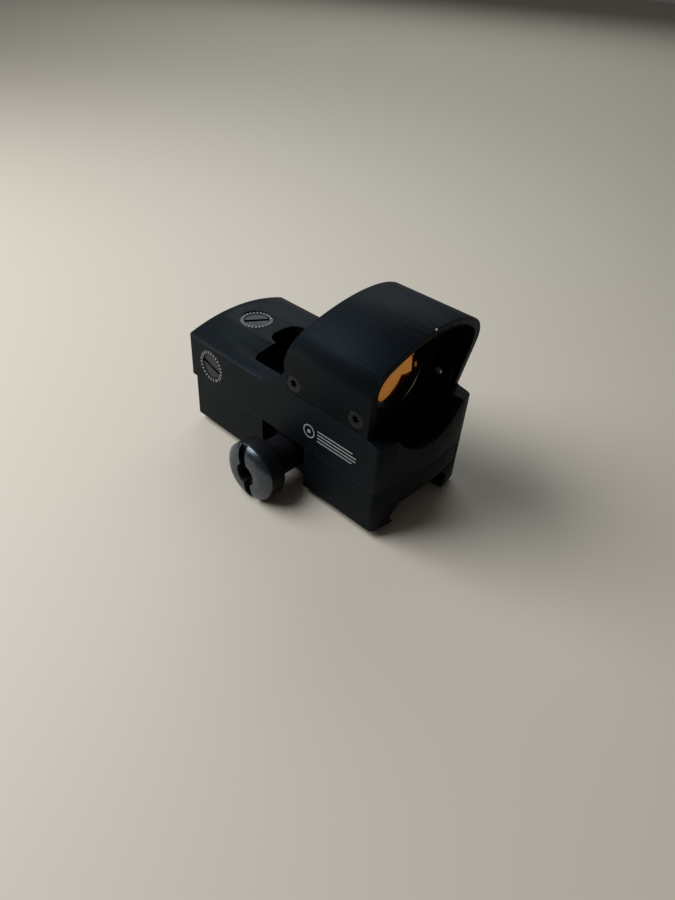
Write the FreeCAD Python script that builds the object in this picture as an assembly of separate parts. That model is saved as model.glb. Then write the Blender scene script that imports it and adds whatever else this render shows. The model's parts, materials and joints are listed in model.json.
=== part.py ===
"""Compact reflex red dot sight with a dovetail rail clamp, one STEP file per piece.

Frame, in millimetres: origin at the middle of the rail channel's roof, +X towards the clamp knob
and the windage dial, +Y forward along the line of sight, +Z up.
"""
import FreeCAD, Part
import math
import os

from FreeCAD import Vector

# ---- rail that the clamp fits
RAIL_WIDTH = 21.2            # across the rail's widest edges
RAIL_TOP_WIDTH = 15.6        # the rail's flat top
RAIL_FIT = 0.1               # play of the channel on each side
ROOF_RELIEF = 0.3            # the roof steps up by this beyond the rail's flat top, over the jaw

# ---- overall body
HALF_WIDTH = 16.0
REAR = -31.25                # rear end of the base
FRONT = 31.25                # front corners
FRONT_BOW = 1.5              # how far the front's middle stands ahead of its corners
REAR_STEP = 1.6              # the housing overhangs the base here
FRONT_CORNER = 1.5
REAR_CORNER = 0.8

# ---- heights
BASE_BOTTOM = -5.2
SEAM = 6.4                   # base to housing
SIDE_TOP = 17.7              # crease of the low rear box
LOW_CROWN = 20.5             # middle of the low box's arched top
SILL = 19.2                  # ledge that the hood stands on
RAMP_START = -7.5
RAMP_TOP = 25.2

# ---- lens hood
HOOD_REAR = 3.0
HOOD_FRONT = 27.2            # front edge of the hood's sides, at the sill
HOOD_BOW = 0.9
HOOD_LEAN = 0.13             # the front edge runs forward by this much per height
HOOD_FLARE = 1.8             # the sides stand out this much more at the shoulder than at the sill
SHOULDER = 31.4              # the hood's sides are straight up to here
SHOULDER_RADIUS = 6.8
CROWN_RADIUS = 25.0
HOOD_SIDE_WALL = 1.9
INNER_SHOULDER_RADIUS = 5.4
INNER_CROWN_RADIUS = 23.0
RAKE_START = 26.8            # the hood's rear edge leans forward above this height
RAKE_SLOPE = 0.5
HOOD_SEAT_GAP = 0.05
HOOD_FOOT_BEVEL = 0.3        # on the hood's outer bottom edges, which makes the seam stand out

# ---- bore through the housing, in front of and behind the lens
BORE_RADIUS = 14.0
BORE_CENTRE = 27.0
BORE_HALF_WIDTH = 12.4
CHEEK_TOP = 25.0
CHEEK_SET_BACK = 2.0         # the cheeks stand this far inside the hood's rear edge
NOTCH_REAR = -12.5
NOTCH_STEP_REAR = -15.9
NOTCH_STEP_HALF = 5.0
NOTCH_WIDENING = 0.9         # the notch behind the hood is this much wider than the bore
NOTCH_CORNER = 3.0
NOTCH_FLOOR = 12.4

# ---- lens
LENS_RADIUS = 11.2
LENS_CENTRE = Vector(0, 19.4, 27.2)
LENS_TILT = 7.0              # degrees, top towards the rear
LENS_THICK = 2.4
LENS_SAG = 0.85
APERTURE = 10.6

# ---- clamp
CLAMP_Y = 2.1
CLAMP_Z = 0.3
BOLT_RADIUS = 2.5
KNOB_RADIUS = 7.4
KNOB_BACK = 21.6
KNOB_FACE = 27.9
HUB_RADIUS = 4.6
RECESS_FLOOR = 13.0
RECESS_HALF = 7.3
KNOB_SLOT_LEAN = 13.0        # degrees off upright
KNOB_RIM = 0.5
KNOB_SOCKET_RADIUS = 2.8
BOLT_PLAY = 0.1
BOLT_END = 24.4              # the bolt is fixed in the knob up to here
JAW_INNER = -13.4
JAW_TOP = 4.5
JAW_BOTTOM = -6.2
JAW_GAP = 0.3
JAW_BLOCK_TOP = -0.35        # top of the jaw's inner block, just under the base
NUT_ACROSS_FLATS = 7.0
LIP_HALF = 9.2               # lip tips stand this far from the middle
PIN_Y = 20.0
PIN_Z = 2.4
PIN_RADIUS = 1.2
PIN_INNER_END = -8.0

# ---- dials and emitter
DIAL_X = 1.1                 # elevation dial, on the top
DIAL_Y = -24.1
DIAL_FACE = 20.2             # top of the index ring around it
WINDAGE_Y = -24.4            # windage dial, on the side
WINDAGE_Z = 12.1
DIAL_RADIUS = 3.1
DIAL_RING_RADIUS = 4.3
STEM_RADIUS = 1.5
THREAD_PLAY = 0.05
NUT_SIZE = 4.0
NUT_THICK = 2.0
NUT_Z = 13.4                 # middle of the elevation nut
NUT_X = 7.2                  # middle of the windage nut
NUT_SLIDE = 0.08             # play of the nuts in the block's slots
BLOCK_BOTTOM = 8.9
BLOCK_TOP = 15.2
LED_Z = 13.9
LED_RADIUS = 1.0
LED_BACK = -18.4
LED_FLANGE = -16.6
LED_FLANGE_THICK = 0.4
CLIP_RADIUS = 2.6
CLIP_THICK = 0.6
CLIP_GAP = 0.1
TRAVEL = 0.5                 # emitter travel each way, along X and along Z
CLEAR = 0.15

# ---- mechanism cavity and what lies under it
CAVITY_HALF = 11.2
CAVITY_REAR = -29.0
CAVITY_FRONT = -17.4
CAVITY_TOP = 17.0
BOARD_TOP = 8.0
BOARD_THICK = 0.8
BOARD_TIP = -3.2
CONTACT_THICK = 0.2
BATTERY_Y = 8.0
BATTERY_RADIUS = 10.0
BATTERY_THICK = 3.2
BATTERY_BOTTOM = 6.75
BATTERY_CEILING = 10.2

# ---- buttons on the side away from the knob
BUTTON_YS = {"button_brighter": -19.9, "button_dimmer": -26.5}
BUTTON_Z = 12.0
BUTTON_RADIUS = 2.7
BUTTON_TRAVEL = 0.6
BUTTON_PROUD = 0.8
BUTTON_SEAT = -13.9          # bottom of each button's bore
BUTTON_STEM_RADIUS = 1.0
SWITCH_TIP = -12.7
SWITCH_FRONT = -12.4
SWITCH_BACK = -11.1
SWITCH_HALF = 1.8

# ---- fasteners: (X, Y) of the base screws, (Y, Z) of the hood screws, Y of the board screws
BASE_SCREWS = [(6.0, 24.5), (-6.0, 24.5), (6.0, -11.0), (-6.0, -11.0)]
BASE_SCREW_RADIUS = 1.25
BASE_SCREW_TIP = 11.2
BASE_HEAD_BOTTOM = 0.4
BASE_HEAD_TOP = 2.9
HOOD_SCREWS = [(5.7, 22.3), (24.0, 22.8)]
HOOD_SCREW_RADIUS = 1.0
HOOD_SCREW_SEAT = 15.4       # underside of the heads
HOOD_HEAD_THICK = 1.0
SCREW_HEAD_RADIUS = 2.1
HEAD_PLAY = 0.05
BOARD_SCREWS = [-15.0, -11.0]

X_AXIS = Vector(1, 0, 0)
Y_AXIS = Vector(0, 1, 0)
Z_AXIS = Vector(0, 0, 1)
FAR = 60.0                   # beyond every surface, for cutting tools

PLACES = {
    "X": lambda a, u, v: Vector(a, u, v),
    "Y": lambda a, u, v: Vector(u, a, v),
    "Z": lambda a, u, v: Vector(u, v, a),
}
AXES = {"X": X_AXIS, "Y": Y_AXIS, "Z": Z_AXIS}


# ------------------------------------------------------------------ building blocks

def outline_face(steps, place):
    """Flat face inside an outline. A step is a point, or (point on the arc, end of the arc)."""
    edges = []
    here = steps[0]
    for step in list(steps[1:]) + [steps[0]]:
        if isinstance(step[0], tuple):
            middle, there = step
            edges.append(Part.Arc(place(here), place(middle), place(there)).toShape())
        else:
            there = step
            if (place(there) - place(here)).Length > 1e-6:
                edges.append(Part.LineSegment(place(here), place(there)).toShape())
        here = there
    return Part.Face(Part.Wire(edges))


def prism(steps, axis, start, end):
    """Extrude an outline along an axis."""
    def place(point):
        return PLACES[axis](start, *point)

    return outline_face(steps, place).extrude(AXES[axis] * (end - start))


def turned(steps, centre, axis="X"):
    """Revolve an outline of (distance along the axis, radius) about an axis through a centre."""
    def place(point):
        along, radius = point
        return Vector(along, radius, 0) if axis == "X" else Vector(radius, along, 0)

    solid = outline_face(steps, place).revolve(Vector(0, 0, 0), AXES[axis], 360)
    solid.translate(Vector(*centre))
    return solid


def dome_middle(apex, rim, radius):
    """Point halfway out on a spherical dome between its apex on the axis and its rim."""
    sag = abs(rim - apex)
    sphere = (radius ** 2 + sag ** 2) / (2 * sag)
    drop = sphere - math.sqrt(sphere ** 2 - radius ** 2 / 4)
    return apex + math.copysign(drop, rim - apex), radius / 2


def box(x0, x1, y0, y1, z0, z1):
    return Part.makeBox(x1 - x0, y1 - y0, z1 - z0, Vector(x0, y0, z0))


def rod(radius, start, end):
    """Cylinder between two points."""
    span = Vector(*end) - Vector(*start)
    return Part.makeCylinder(radius, span.Length, Vector(*start), span)


def tube(outer, inner, start, end):
    return rod(outer, start, end).cut(rod(inner, start, end))


def joined(shapes):
    result = shapes[0]
    for shape in shapes[1:]:
        result = result.fuse(shape)
    return result.removeSplitter()


def group(shapes):
    return Part.makeCompound(shapes)


def both_sides(shape):
    """The shape and its mirror image across the middle plane."""
    return [shape, shape.mirror(Vector(0, 0, 0), X_AXIS)]


def rounded(shape, radius, chosen):
    return shape.makeFillet(radius, [edge for edge in shape.Edges if chosen(edge)])


def upright_at(y):
    """Chooses the upright edges at one Y."""
    def chosen(edge):
        ends = [vertex.Point for vertex in edge.Vertexes]
        if len(ends) != 2:
            return False
        upright = abs(ends[0].x - ends[1].x) + abs(ends[0].y - ends[1].y) < 1e-6
        return upright and abs(ends[0].y - y) < 1e-6
    return chosen


def hood_half(height):
    """Half-width of the hood's straight flared sides at a height."""
    return HALF_WIDTH + HOOD_FLARE * (height - SILL) / (SHOULDER - SILL)


def dome_outline(foot, half, bottom, shoulder, shoulder_radius, crown_radius):
    """Flared straight sides, round shoulders and an arched crown, in X and Z."""
    lean = math.atan2(half - foot, shoulder - bottom)
    turn = math.acos((half - shoulder_radius) / (crown_radius - shoulder_radius))
    crown = shoulder - (crown_radius - shoulder_radius) * math.sin(turn) + crown_radius

    def on_shoulder(angle):
        x = half - shoulder_radius + shoulder_radius * math.cos(angle)
        return x, shoulder + shoulder_radius * math.sin(angle)

    start, middle, end = on_shoulder(-lean), on_shoulder(turn / 2), on_shoulder(turn)
    return [
        (foot, bottom),
        start,
        (middle, end),
        ((0, crown), (-end[0], end[1])),
        ((-middle[0], middle[1]), (-start[0], start[1])),
        (-foot, bottom),
    ]


def arch_height(x):
    """Height of the low box's arched top at X."""
    rise = LOW_CROWN - SIDE_TOP
    radius = (HALF_WIDTH ** 2 + rise ** 2) / (2 * rise)
    return LOW_CROWN - radius + math.sqrt(radius ** 2 - x ** 2)


def body_block(rear, bottom, top):
    """The plan outline shared by base and housing, with its bowed front and rounded corners."""
    plan = [
        (-HALF_WIDTH, rear),
        (HALF_WIDTH, rear),
        (HALF_WIDTH, FRONT),
        ((0, FRONT + FRONT_BOW), (-HALF_WIDTH, FRONT)),
    ]
    block = prism(plan, "Z", bottom, top)
    block = rounded(block, FRONT_CORNER, upright_at(FRONT))
    return rounded(block, REAR_CORNER, upright_at(rear))


def six_lobe(depth_start, depth_end, size):
    """Six-lobe screwdriver recess between two points."""
    start, end = Vector(*depth_start), Vector(*depth_end)
    along = (end - start).normalize()
    side = along.cross(Z_AXIS if abs(along.z) < 0.5 else X_AXIS).normalize()
    up = along.cross(side)
    shapes = [rod(size * 0.78, start, end)]
    for k in range(6):
        turn = math.radians(60 * k)
        shift = (side * math.cos(turn) + up * math.sin(turn)) * size * 0.78
        shapes.append(rod(size * 0.3, start + shift, end + shift))
    return joined(shapes)


def hexagon(across_flats, axis, centre, start, end):
    reach = across_flats / math.sqrt(3)
    points = []
    for k in range(6):
        turn = math.radians(60 * k + 30)
        points.append((centre[0] + reach * math.cos(turn), centre[1] + reach * math.sin(turn)))
    return prism(points, axis, start, end)


# ------------------------------------------------------------------ base and clamp

def channel_tool():
    """Everything below the roof: near dovetail, and open room for the sliding jaw beyond it."""
    edge = RAIL_WIDTH / 2 + RAIL_FIT
    roof = RAIL_TOP_WIDTH / 2 + RAIL_FIT
    land_top = -(edge - roof)
    land_bottom = BASE_BOTTOM + (edge - LIP_HALF)
    outline = [
        (-FAR, ROOF_RELIEF),
        (-roof, ROOF_RELIEF),
        (-roof, 0),
        (roof, 0),
        (edge, land_top),
        (edge, land_bottom),
        (LIP_HALF, BASE_BOTTOM),
        (LIP_HALF, -FAR),
        (-FAR, -FAR),
    ]
    return prism(outline, "Y", -FAR, FAR)


def rail_base():
    block = body_block(REAR, BASE_BOTTOM, SEAM)
    jaw_pocket = box(-FAR, JAW_INNER + JAW_GAP, -FAR, FAR, -FAR, JAW_TOP + JAW_GAP)
    recess = box(RECESS_FLOOR, FAR, CLAMP_Y - RECESS_HALF, CLAMP_Y + RECESS_HALF, -FAR, FAR)
    bolt_hole = clamp_rod(BOLT_RADIUS + BOLT_PLAY, -FAR, FAR)
    base = block.cut([channel_tool(), jaw_pocket, recess, bolt_hole])
    base = base.cut([gasket_ring(), jaw_guide_pins()])
    return base.cut([base_screw_room(x, y) for x, y in BASE_SCREWS])


def clamp_rod(radius, start, end):
    """Cylinder about the clamp screw's axis."""
    return rod(radius, (start, CLAMP_Y, CLAMP_Z), (end, CLAMP_Y, CLAMP_Z))


def gasket_ring():
    """Seal in a groove of the base's top face, around all the inner spaces."""
    half = CAVITY_HALF + 0.9
    width = 0.7
    bottom = SEAM - 0.6
    outer = box(-half, half, REAR + 1.4, FRONT - 2.4, bottom, SEAM)
    inner = box(-half + width, half - width, REAR + 1.4 + width, FRONT - 2.4 - width, bottom, SEAM)
    return rounded(outer, 2.2, is_upright).cut(rounded(inner, 1.5, is_upright))


def is_upright(edge):
    ends = [vertex.Point for vertex in edge.Vertexes]
    return len(ends) == 2 and abs(ends[0].x - ends[1].x) + abs(ends[0].y - ends[1].y) < 1e-6


def base_screw_room(x, y):
    head = rod(SCREW_HEAD_RADIUS + HEAD_PLAY, (x, y, -FAR), (x, y, BASE_HEAD_TOP))
    return joined([head, base_screw_shank(x, y, 0)])


def base_screw_shank(x, y, bottom):
    return rod(BASE_SCREW_RADIUS, (x, y, bottom), (x, y, BASE_SCREW_TIP))


def base_screws():
    """Socket head screws from the channel's roof up into the housing."""
    screws = []
    for x, y in BASE_SCREWS:
        head = rod(SCREW_HEAD_RADIUS, (x, y, BASE_HEAD_BOTTOM), (x, y, BASE_HEAD_TOP))
        socket = hexagon(2.0, "Z", (x, y), BASE_HEAD_BOTTOM, BASE_HEAD_BOTTOM + 1.3)
        screws.append(joined([head.cut(socket), base_screw_shank(x, y, BASE_HEAD_TOP)]))
    return group(screws)


def jaw_guide_pins():
    """Two dowels pressed into the base, which the jaw slides on."""
    return group(pin_rods(PIN_RADIUS, -HALF_WIDTH + 0.4, PIN_INNER_END))


def pin_rods(radius, start, end):
    return [rod(radius, (start, y, PIN_Z), (end, y, PIN_Z)) for y in (PIN_Y, -PIN_Y)]


def clamp_jaw():
    """Sliding far jaw: an outer plate, and a block under the base with the far dovetail."""
    edge = RAIL_WIDTH / 2 + RAIL_FIT
    roof = RAIL_TOP_WIDTH / 2 + RAIL_FIT
    land_top = -(edge - roof)
    top = JAW_BLOCK_TOP
    land_bottom = BASE_BOTTOM + (edge - LIP_HALF)
    outline = [
        (-HALF_WIDTH + 0.4, JAW_TOP),
        (-HALF_WIDTH, JAW_TOP - 0.4),
        (-HALF_WIDTH, JAW_BOTTOM + 0.8),
        (-HALF_WIDTH + 0.8, JAW_BOTTOM),
        (-LIP_HALF, JAW_BOTTOM),
        (-LIP_HALF, BASE_BOTTOM),
        (-edge, land_bottom),
        (-edge, land_top),
        (-roof + top, top),
        (JAW_INNER, top),
        (JAW_INNER, JAW_TOP),
    ]
    jaw = prism(outline, "Y", REAR, FRONT + FRONT_BOW)
    jaw = jaw.common(body_block(REAR, JAW_BOTTOM, JAW_TOP))
    bolt_room = clamp_rod(BOLT_RADIUS + 0.4, JAW_INNER, 0)
    return jaw.cut([bolt_room, nut_hexagon()] + pin_rods(PIN_RADIUS + THREAD_PLAY, -FAR, 0))


def nut_hexagon():
    return hexagon(NUT_ACROSS_FLATS, "X", (CLAMP_Y, CLAMP_Z), -HALF_WIDTH, JAW_INNER)


def jaw_nut():
    """Steel hexagon insert pressed into the jaw, threaded for the clamp bolt."""
    return nut_hexagon().cut(clamp_rod(BOLT_RADIUS + THREAD_PLAY, -FAR, 0))


def clamp_bolt():
    """Crosses the channel at roof level, where it also drops into the rail's cross slot."""
    return clamp_rod(BOLT_RADIUS, -HALF_WIDTH + 0.1, BOLT_END)


def clamp_knob():
    """Slotted clamp screw head: a domed disc on a neck, turned about the bolt's axis."""
    back = RECESS_FLOOR + JAW_GAP
    solid = turned([
        (back, 0),
        (back, HUB_RADIUS),
        (KNOB_BACK, HUB_RADIUS),
        (KNOB_BACK, KNOB_RADIUS - KNOB_RIM),
        (KNOB_BACK + KNOB_RIM, KNOB_RADIUS),
        (KNOB_FACE - 1.6, KNOB_RADIUS),
        ((KNOB_FACE - 0.5, KNOB_RADIUS - 1.3), (KNOB_FACE, KNOB_RADIUS - 3.4)),
        (KNOB_FACE, 0),
    ], (0, CLAMP_Y, CLAMP_Z))
    slot = box(KNOB_FACE - 1.7, FAR, CLAMP_Y - 1.1, CLAMP_Y + 1.1, -FAR, FAR)
    slot.rotate(Vector(0, CLAMP_Y, CLAMP_Z), X_AXIS, KNOB_SLOT_LEAN)
    socket = clamp_rod(KNOB_SOCKET_RADIUS, KNOB_FACE - 3.0, FAR)
    solid = solid.cut([slot, socket])
    return solid.cut(clamp_bolt())


# ------------------------------------------------------------------ housing

def bore_outline(gap=0.0):
    """Round bottom and straight sides of the bore, open to the top, in X and Z."""
    half = BORE_HALF_WIDTH - gap
    radius = BORE_RADIUS - gap
    spring = BORE_CENTRE - math.sqrt(radius ** 2 - half ** 2)
    return [(half, spring), ((0, BORE_CENTRE - radius), (-half, spring))]


def bore_tool(rear, front, gap=0.0):
    half = BORE_HALF_WIDTH - gap
    outline = [(half, FAR)] + bore_outline(gap) + [(-half, FAR)]
    return prism(outline, "Y", rear, front)


def notch_tools():
    """The wider end of the bore behind the hood, and the step in its rear edge for the emitter."""
    front = HOOD_REAR + CHEEK_SET_BACK
    plan = rounded(box(-BORE_HALF_WIDTH - NOTCH_WIDENING, BORE_HALF_WIDTH + NOTCH_WIDENING,
                       NOTCH_REAR, front, 0, FAR), NOTCH_CORNER, upright_at(NOTCH_REAR))
    wide = bore_tool(NOTCH_REAR, front, -NOTCH_WIDENING).common(plan)
    step = box(-NOTCH_STEP_HALF, NOTCH_STEP_HALF, NOTCH_STEP_REAR, NOTCH_REAR + 1, NOTCH_FLOOR, FAR)
    return [wide, rounded(step, NOTCH_CORNER, upright_at(NOTCH_STEP_REAR))]


def low_box_section():
    bevel = 0.45
    inner = HALF_WIDTH - bevel
    edge = arch_height(inner)
    return [
        (-HALF_WIDTH, SEAM),
        (HALF_WIDTH, SEAM),
        (HALF_WIDTH, edge - bevel),
        (inner, edge),
        ((0, LOW_CROWN), (-inner, edge)),
        (-HALF_WIDTH, edge - bevel),
    ]


def side_outline():
    """Side view of the ramp behind the hood, the hood's ledge and the chin in front of it."""
    run = HOOD_REAR - RAMP_START
    rise = RAMP_TOP - SIDE_TOP
    radius = (run ** 2 + rise ** 2) / (2 * rise)
    half_run = run / 2
    half_rise = radius - math.sqrt(radius ** 2 - half_run ** 2)
    return [
        (RAMP_START, SEAM),
        (RAMP_START, SIDE_TOP),
        ((RAMP_START + half_run, SIDE_TOP + half_rise), (HOOD_REAR, RAMP_TOP)),
        (HOOD_REAR, SILL),
        (HOOD_FRONT, SILL),
        (HOOD_FRONT + 0.5, SILL - 0.3),
        (FRONT + FRONT_BOW + 1, SIDE_TOP + 0.1),
        (FRONT + FRONT_BOW + 1, SEAM),
    ]


def housing():
    block = body_block(REAR - REAR_STEP, SEAM, FAR)
    sides = prism(side_outline(), "X", -HALF_WIDTH, HALF_WIDTH)
    low = prism(low_box_section(), "Y", REAR - REAR_STEP, FRONT + FRONT_BOW + 1)
    step = HOOD_SEAT_GAP
    arch_cut = box(-HALF_WIDTH, HALF_WIDTH, HOOD_REAR, HOOD_FRONT + FRONT_BOW, SILL, FAR)
    outer = low.cut(arch_cut).fuse(sides).common(block)
    cheek_half = HALF_WIDTH - HOOD_SIDE_WALL - step
    cheek_rear = HOOD_REAR + CHEEK_SET_BACK
    cheeks = box(-cheek_half, cheek_half, cheek_rear, HOOD_FRONT - 0.4, SEAM, CHEEK_TOP)
    body = outer.fuse(cheeks)
    body = body.cut([bore_tool(HOOD_REAR, FAR)] + notch_tools())
    body = body.cut(inner_rooms())
    body = body.cut(dial_rooms() + button_rooms())
    screws = [base_screw_shank(x, y, 0) for x, y in BASE_SCREWS]
    return body.cut(screws + [hood_screws(), board_screws()]).removeSplitter()


def inner_rooms():
    """Mechanism cavity, circuit board bay, battery pocket and the slot that joins them."""
    cavity = box(-CAVITY_HALF, CAVITY_HALF, CAVITY_REAR, CAVITY_FRONT, 0, CAVITY_TOP)
    tongue = box(-3.3, 3.3, CAVITY_FRONT - 1, -3.0, 0, BOARD_TOP)
    pocket = rod(BATTERY_RADIUS + 0.2, (0, BATTERY_Y, 0), (0, BATTERY_Y, BATTERY_CEILING))
    slot = box(-2.5, 2.5, BOARD_TIP, 2.0, 0, BATTERY_CEILING)
    window = box(-3.6, 3.6, CAVITY_FRONT - 1, NOTCH_STEP_REAR + 1, 11.6, 16.2)
    return [cavity, tongue, pocket, slot, window]


def dial_rooms():
    stem = STEM_RADIUS + 0.1
    disc = DIAL_RADIUS + 0.1
    top = (DIAL_X, DIAL_Y, FAR)
    side = (FAR, WINDAGE_Y, WINDAGE_Z)
    return [
        rod(stem, (DIAL_X, DIAL_Y, CAVITY_TOP - 1), top),
        rod(disc, (DIAL_X, DIAL_Y, DIAL_FACE - 1.8), top),
        rod(DIAL_RING_RADIUS, (DIAL_X, DIAL_Y, DIAL_FACE - 0.5), top),
        rod(stem, (CAVITY_HALF - 1, WINDAGE_Y, WINDAGE_Z), side),
        rod(disc, (HALF_WIDTH - 2.0, WINDAGE_Y, WINDAGE_Z), side),
        rod(DIAL_RING_RADIUS, (HALF_WIDTH - 0.5, WINDAGE_Y, WINDAGE_Z), side),
    ]


def button_rooms():
    """Bore for each rubber button, with the switch's pocket behind it."""
    tools = []
    for y in BUTTON_YS.values():
        tools.append(rod(BUTTON_RADIUS + 0.1, (-FAR, y, BUTTON_Z), (BUTTON_SEAT, y, BUTTON_Z)))
        tools.append(rod(BUTTON_STEM_RADIUS + 0.3, (-FAR, y, BUTTON_Z), (SWITCH_FRONT, y, BUTTON_Z)))
        tools.append(switch_box(y, SWITCH_FRONT - 0.2, -CAVITY_HALF + 1, SWITCH_HALF + 0.3))
    return tools


# ------------------------------------------------------------------ hood and lens

def front_tool():
    """Everything behind the hood's bowed front edge, which leans forward with height."""
    def place(point):
        return Vector(point[0], point[1], SILL)

    outline = [
        (-FAR, -FAR),
        (FAR, -FAR),
        (FAR, HOOD_FRONT),
        (HALF_WIDTH, HOOD_FRONT),
        ((0, HOOD_FRONT + HOOD_BOW), (-HALF_WIDTH, HOOD_FRONT)),
        (-FAR, HOOD_FRONT),
    ]
    return outline_face(outline, place).extrude(Vector(0, HOOD_LEAN, 1) * FAR)


def rear_tool():
    """Cuts the hood's rear edge, upright at first and then leaning forward."""
    top = RAKE_START + (HOOD_FRONT - HOOD_REAR) / RAKE_SLOPE
    return prism([
        (-FAR, 0),
        (HOOD_REAR, 0),
        (HOOD_REAR, RAKE_START - 2.5),
        ((HOOD_REAR + 0.35, RAKE_START), (HOOD_REAR + 1.4, RAKE_START + 2.8)),
        (HOOD_FRONT, top),
        (-FAR, top),
    ], "X", -FAR, FAR)


def inner_dome(bottom, gap=0.0):
    wall = HOOD_SIDE_WALL + gap
    top = SHOULDER - 0.3
    return dome_outline(hood_half(bottom) - wall, hood_half(top) - wall, bottom, top,
                        INNER_SHOULDER_RADIUS - gap, INNER_CROWN_RADIUS)


def lens_hood():
    bevel = HOOD_FOOT_BEVEL
    dome = dome_outline(
        hood_half(SILL + bevel), hood_half(SHOULDER), SILL + bevel, SHOULDER, SHOULDER_RADIUS, CROWN_RADIUS)
    dome = [(HALF_WIDTH - bevel, SILL)] + dome + [(-HALF_WIDTH + bevel, SILL)]
    shell = prism(dome, "Y", 0, FAR).common(front_tool()).cut(rear_tool())
    shell = shell.cut(prism(inner_dome(SILL), "Y", -FAR, FAR))
    return shell.cut([hood_screw_room(y, z) for y, z in HOOD_SCREWS])


def hood_screw_room(y, z):
    seat = HOOD_SCREW_SEAT
    head = rod(SCREW_HEAD_RADIUS + HEAD_PLAY, (seat, y, z), (FAR, y, z))
    return group(both_sides(head) + [rod(HOOD_SCREW_RADIUS, (-seat, y, z), (seat, y, z))])


def hood_screws():
    """Six-lobe screws, two each side, through the hood into the housing's cheeks."""
    screws = []
    seat = HOOD_SCREW_SEAT
    for y, z in HOOD_SCREWS:
        head = rod(SCREW_HEAD_RADIUS, (seat, y, z), (seat + HOOD_HEAD_THICK, y, z))
        head = head.cut(six_lobe((seat + 0.3, y, z), (FAR, y, z), 0.95))
        shank = rod(HOOD_SCREW_RADIUS, (BORE_HALF_WIDTH + 0.2, y, z), (seat, y, z))
        screws += both_sides(joined([head, shank]))
    return group(screws)


def tilt(shape):
    """Lean a shape built upright around the lens axis to the lens's angle."""
    shape.rotate(LENS_CENTRE, X_AXIS, LENS_TILT)
    return shape


def lens_rod(radius, near, far):
    centre = LENS_CENTRE
    return tilt(rod(radius, (0, centre.y + near, centre.z), (0, centre.y + far, centre.z)))


def lens_frame():
    """Bulkhead that fills the bore and carries the tilted lens."""
    gap = HOOD_SEAT_GAP
    shelf = CHEEK_TOP + gap
    dome = inner_dome(shelf, gap)
    near, (bottom, far) = bore_outline(gap)
    outline = dome + [(far[0], shelf), far, (bottom, near), (near[0], shelf)]
    plate = prism(outline, "Y", LENS_CENTRE.y - 3.0, LENS_CENTRE.y + 2.6)
    seat = lens_rod(LENS_RADIUS + HOOD_SEAT_GAP, -LENS_THICK / 2, 9)
    return plate.cut([seat, lens_rod(APERTURE, -9, 9)])


def lens():
    """Round meniscus lens, convex to the front."""
    front = LENS_THICK / 2
    rear = -front
    disc = turned([
        (rear + LENS_SAG, 0),
        (dome_middle(rear + LENS_SAG, rear, LENS_RADIUS), (rear, LENS_RADIUS)),
        (front - LENS_SAG, LENS_RADIUS),
        (dome_middle(front, front - LENS_SAG, LENS_RADIUS), (front, 0)),
    ], LENS_CENTRE, "Y")
    return tilt(disc)


def lens_retaining_ring():
    """Ring just ahead of the lens, clear of its domed front."""
    inner = APERTURE - 0.1
    near = LENS_THICK / 2 - LENS_SAG * (inner / LENS_RADIUS) ** 2 + HOOD_SEAT_GAP
    return lens_rod(LENS_RADIUS, near, LENS_THICK / 2 + 0.9).cut(lens_rod(inner, -9, 9))


# ------------------------------------------------------------------ electronics

def battery():
    """Coin cell: the can above, and the narrower cap of the other pole below."""
    shoulder = (0, BATTERY_Y, BATTERY_BOTTOM + 0.5)
    can = rod(BATTERY_RADIUS, shoulder, (0, BATTERY_Y, BATTERY_BOTTOM + BATTERY_THICK))
    cap = rod(BATTERY_RADIUS - 1.2, (0, BATTERY_Y, BATTERY_BOTTOM), shoulder)
    return joined([can, cap])


def strip(points, thick, half_width):
    """A bent flat strip. Points are (Y, Z) of its lower face; only level and upright runs."""
    runs = []
    for (y0, z0), (y1, z1) in zip(points, points[1:]):
        low_y, high_y = min(y0, y1), max(y0, y1)
        low_z, high_z = min(z0, z1), max(z0, z1)
        runs.append(box(-half_width, half_width, low_y, high_y + thick, low_z, high_z + thick))
    return joined(runs)


def battery_contact_positive():
    top = BATTERY_BOTTOM + BATTERY_THICK
    bottom = BOARD_TOP - BOARD_THICK
    bend = BOARD_TIP + 0.1
    return strip([(bend, bottom), (bend, top), (BATTERY_Y, top)], CONTACT_THICK, 1.6)


def battery_contact_negative():
    low = BATTERY_BOTTOM - CONTACT_THICK
    under_board = BOARD_TOP - BOARD_THICK - CONTACT_THICK
    tail = BOARD_TIP - 5.8
    bend = BOARD_TIP - 2.8
    points = [(tail, under_board), (bend, under_board), (bend, low), (BATTERY_Y, low)]
    return strip(points, CONTACT_THICK, 2.0)


def circuit_board():
    bottom = BOARD_TOP - BOARD_THICK
    wide = box(-10.5, 10.5, CAVITY_REAR + 0.3, CAVITY_FRONT - 0.2, bottom, BOARD_TOP)
    tongue = box(-3.0, 3.0, CAVITY_FRONT - 0.3, BOARD_TIP, bottom, BOARD_TOP)
    return joined([wide, tongue]).cut(board_screws())


def board_screws():
    """Two small screws that hold the board's tongue up against the housing."""
    screws = []
    bottom = BOARD_TOP - BOARD_THICK
    for y in BOARD_SCREWS:
        head = rod(1.2, (0, y, bottom - 0.6), (0, y, bottom))
        screws.append(joined([head, rod(0.6, (0, y, bottom), (0, y, BOARD_TOP + 2.6))]))
    return group(screws)


def control_chips():
    """Controller and driver packages under the wide end of the board."""
    bottom = BOARD_TOP - BOARD_THICK
    return group([
        box(-7.0, -3.0, -27.0, -23.0, bottom - 0.7, bottom),
        box(2.0, 5.0, -26.0, -23.0, bottom - 0.6, bottom),
        box(6.5, 8.1, -21.5, -20.7, bottom - 0.5, bottom),
    ])


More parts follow.
